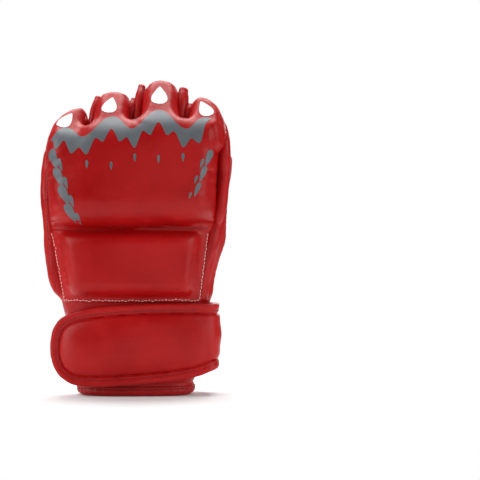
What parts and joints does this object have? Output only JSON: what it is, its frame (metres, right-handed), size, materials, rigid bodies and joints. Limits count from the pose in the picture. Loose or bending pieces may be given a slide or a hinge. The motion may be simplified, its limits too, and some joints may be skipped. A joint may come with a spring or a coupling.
{
  "type": "mma glove",
  "caption": "Half-finger martial arts glove with padded knuckles and finger flaps, an open palm with a grip bar, a thumb sleeve and a wrap-round wrist strap.",
  "frame": {"origin": "middle of the bottom of the glove, on the surface that the cuff stands on", "axes": "+Z from the cuff up to the fingertips, -Y out of the back of the hand, +Y out of the palm, +X towards the thumb"},
  "size_m": [0.1434, 0.1121, 0.2388],
  "materials": {
    "red_leather": "satin artificial leather with a fine grain",
    "red_soft_leather": "soft satin artificial leather, thinner, with folds",
    "red_binding": "folded artificial leather edge tape with a stitch row",
    "lining_cloth": "dark knitted lining cloth",
    "elastic": "ribbed woven elastic",
    "loop_tape": "fuzzy loop side of hook and loop tape",
    "hook_tape": "bristly hook side of hook and loop tape",
    "foam": "closed-cell padding foam, hidden inside"
  },
  "bodies": {
    "hand": {"backhand_lining": "lining_cloth", "backhand_panel": "red_leather", "cuff_binding": "red_binding", "cuff_elastic": "elastic", "cuff_lining": "lining_cloth", "cuff_loop_patch": "loop_tape", "cuff_shell": "red_leather", "grip_bar_core": "foam", "grip_bar_cover": "red_leather", "knuckle_pad_cover": "red_leather", "knuckle_pad_foam": "foam", "lower_pad_cover": "red_leather", "lower_pad_foam": "foam", "palm_opening_binding": "red_binding", "palm_panel": "red_soft_leather", "pinky_side_gusset": "red_soft_leather", "strap_anchor": "red_leather", "strap_wrap": "red_leather", "strap_wrap_binding": "red_binding", "thumb_base_ring": "red_soft_leather", "thumb_side_gusset": "red_soft_leather"},
    "pinky_finger": {"pinky_finger_band": "red_soft_leather", "pinky_inner_roll": "red_soft_leather", "pinky_outer_roll": "red_soft_leather", "pinky_pad_cover": "red_leather", "pinky_pad_foam": "foam"},
    "ring_finger": {"ring_finger_band": "red_soft_leather", "ring_inner_roll": "red_soft_leather", "ring_outer_roll": "red_soft_leather", "ring_pad_cover": "red_leather", "ring_pad_foam": "foam"},
    "middle_finger": {"middle_finger_band": "red_soft_leather", "middle_inner_roll": "red_soft_leather", "middle_outer_roll": "red_soft_leather", "middle_pad_cover": "red_leather", "middle_pad_foam": "foam"},
    "index_finger": {"index_finger_band": "red_soft_leather", "index_inner_roll": "red_soft_leather", "index_outer_roll": "red_soft_leather", "index_pad_cover": "red_leather", "index_pad_foam": "foam"},
    "thumb": {"thumb_binding": "red_binding", "thumb_pad_cover": "red_soft_leather", "thumb_pad_foam": "foam", "thumb_sleeve": "red_soft_leather"},
    "strap": {"strap_base": "red_leather", "strap_binding": "red_binding", "strap_cover": "red_leather", "strap_foam": "foam", "strap_hook_patch": "hook_tape"}
  },
  "joints": [
    {"name": "pinky_hinge", "type": "hinge", "parent": "hand", "child": "pinky_finger", "pos_m": [-0.0528, -0.0301, 0.1897], "axis": [-1, 0, 0], "range_deg": [-8, 30], "stiffness_Nm_per_rad": 0.3},
    {"name": "ring_hinge", "type": "hinge", "parent": "hand", "child": "ring_finger", "pos_m": [-0.0183, -0.0301, 0.1977], "axis": [-1, 0, 0], "range_deg": [-8, 30], "stiffness_Nm_per_rad": 0.3},
    {"name": "middle_hinge", "type": "hinge", "parent": "hand", "child": "middle_finger", "pos_m": [0.0182, -0.0301, 0.2027], "axis": [-1, 0, 0], "range_deg": [-8, 30], "stiffness_Nm_per_rad": 0.3},
    {"name": "index_hinge", "type": "hinge", "parent": "hand", "child": "index_finger", "pos_m": [0.0528, -0.0301, 0.1977], "axis": [-1, 0, 0], "range_deg": [-8, 30], "stiffness_Nm_per_rad": 0.3},
    {"name": "thumb_hinge", "type": "hinge", "parent": "hand", "child": "thumb", "pos_m": [0.044, 0.019, 0.104], "axis": [0, 1, 0], "range_deg": [-4, 22], "stiffness_Nm_per_rad": 0.3},
    {"name": "strap_hinge", "type": "hinge", "parent": "hand", "child": "strap", "pos_m": [0.0504, -0.0276, 0.04], "axis": [0, 0, 1], "range_deg": [0, 120]}
  ]
}
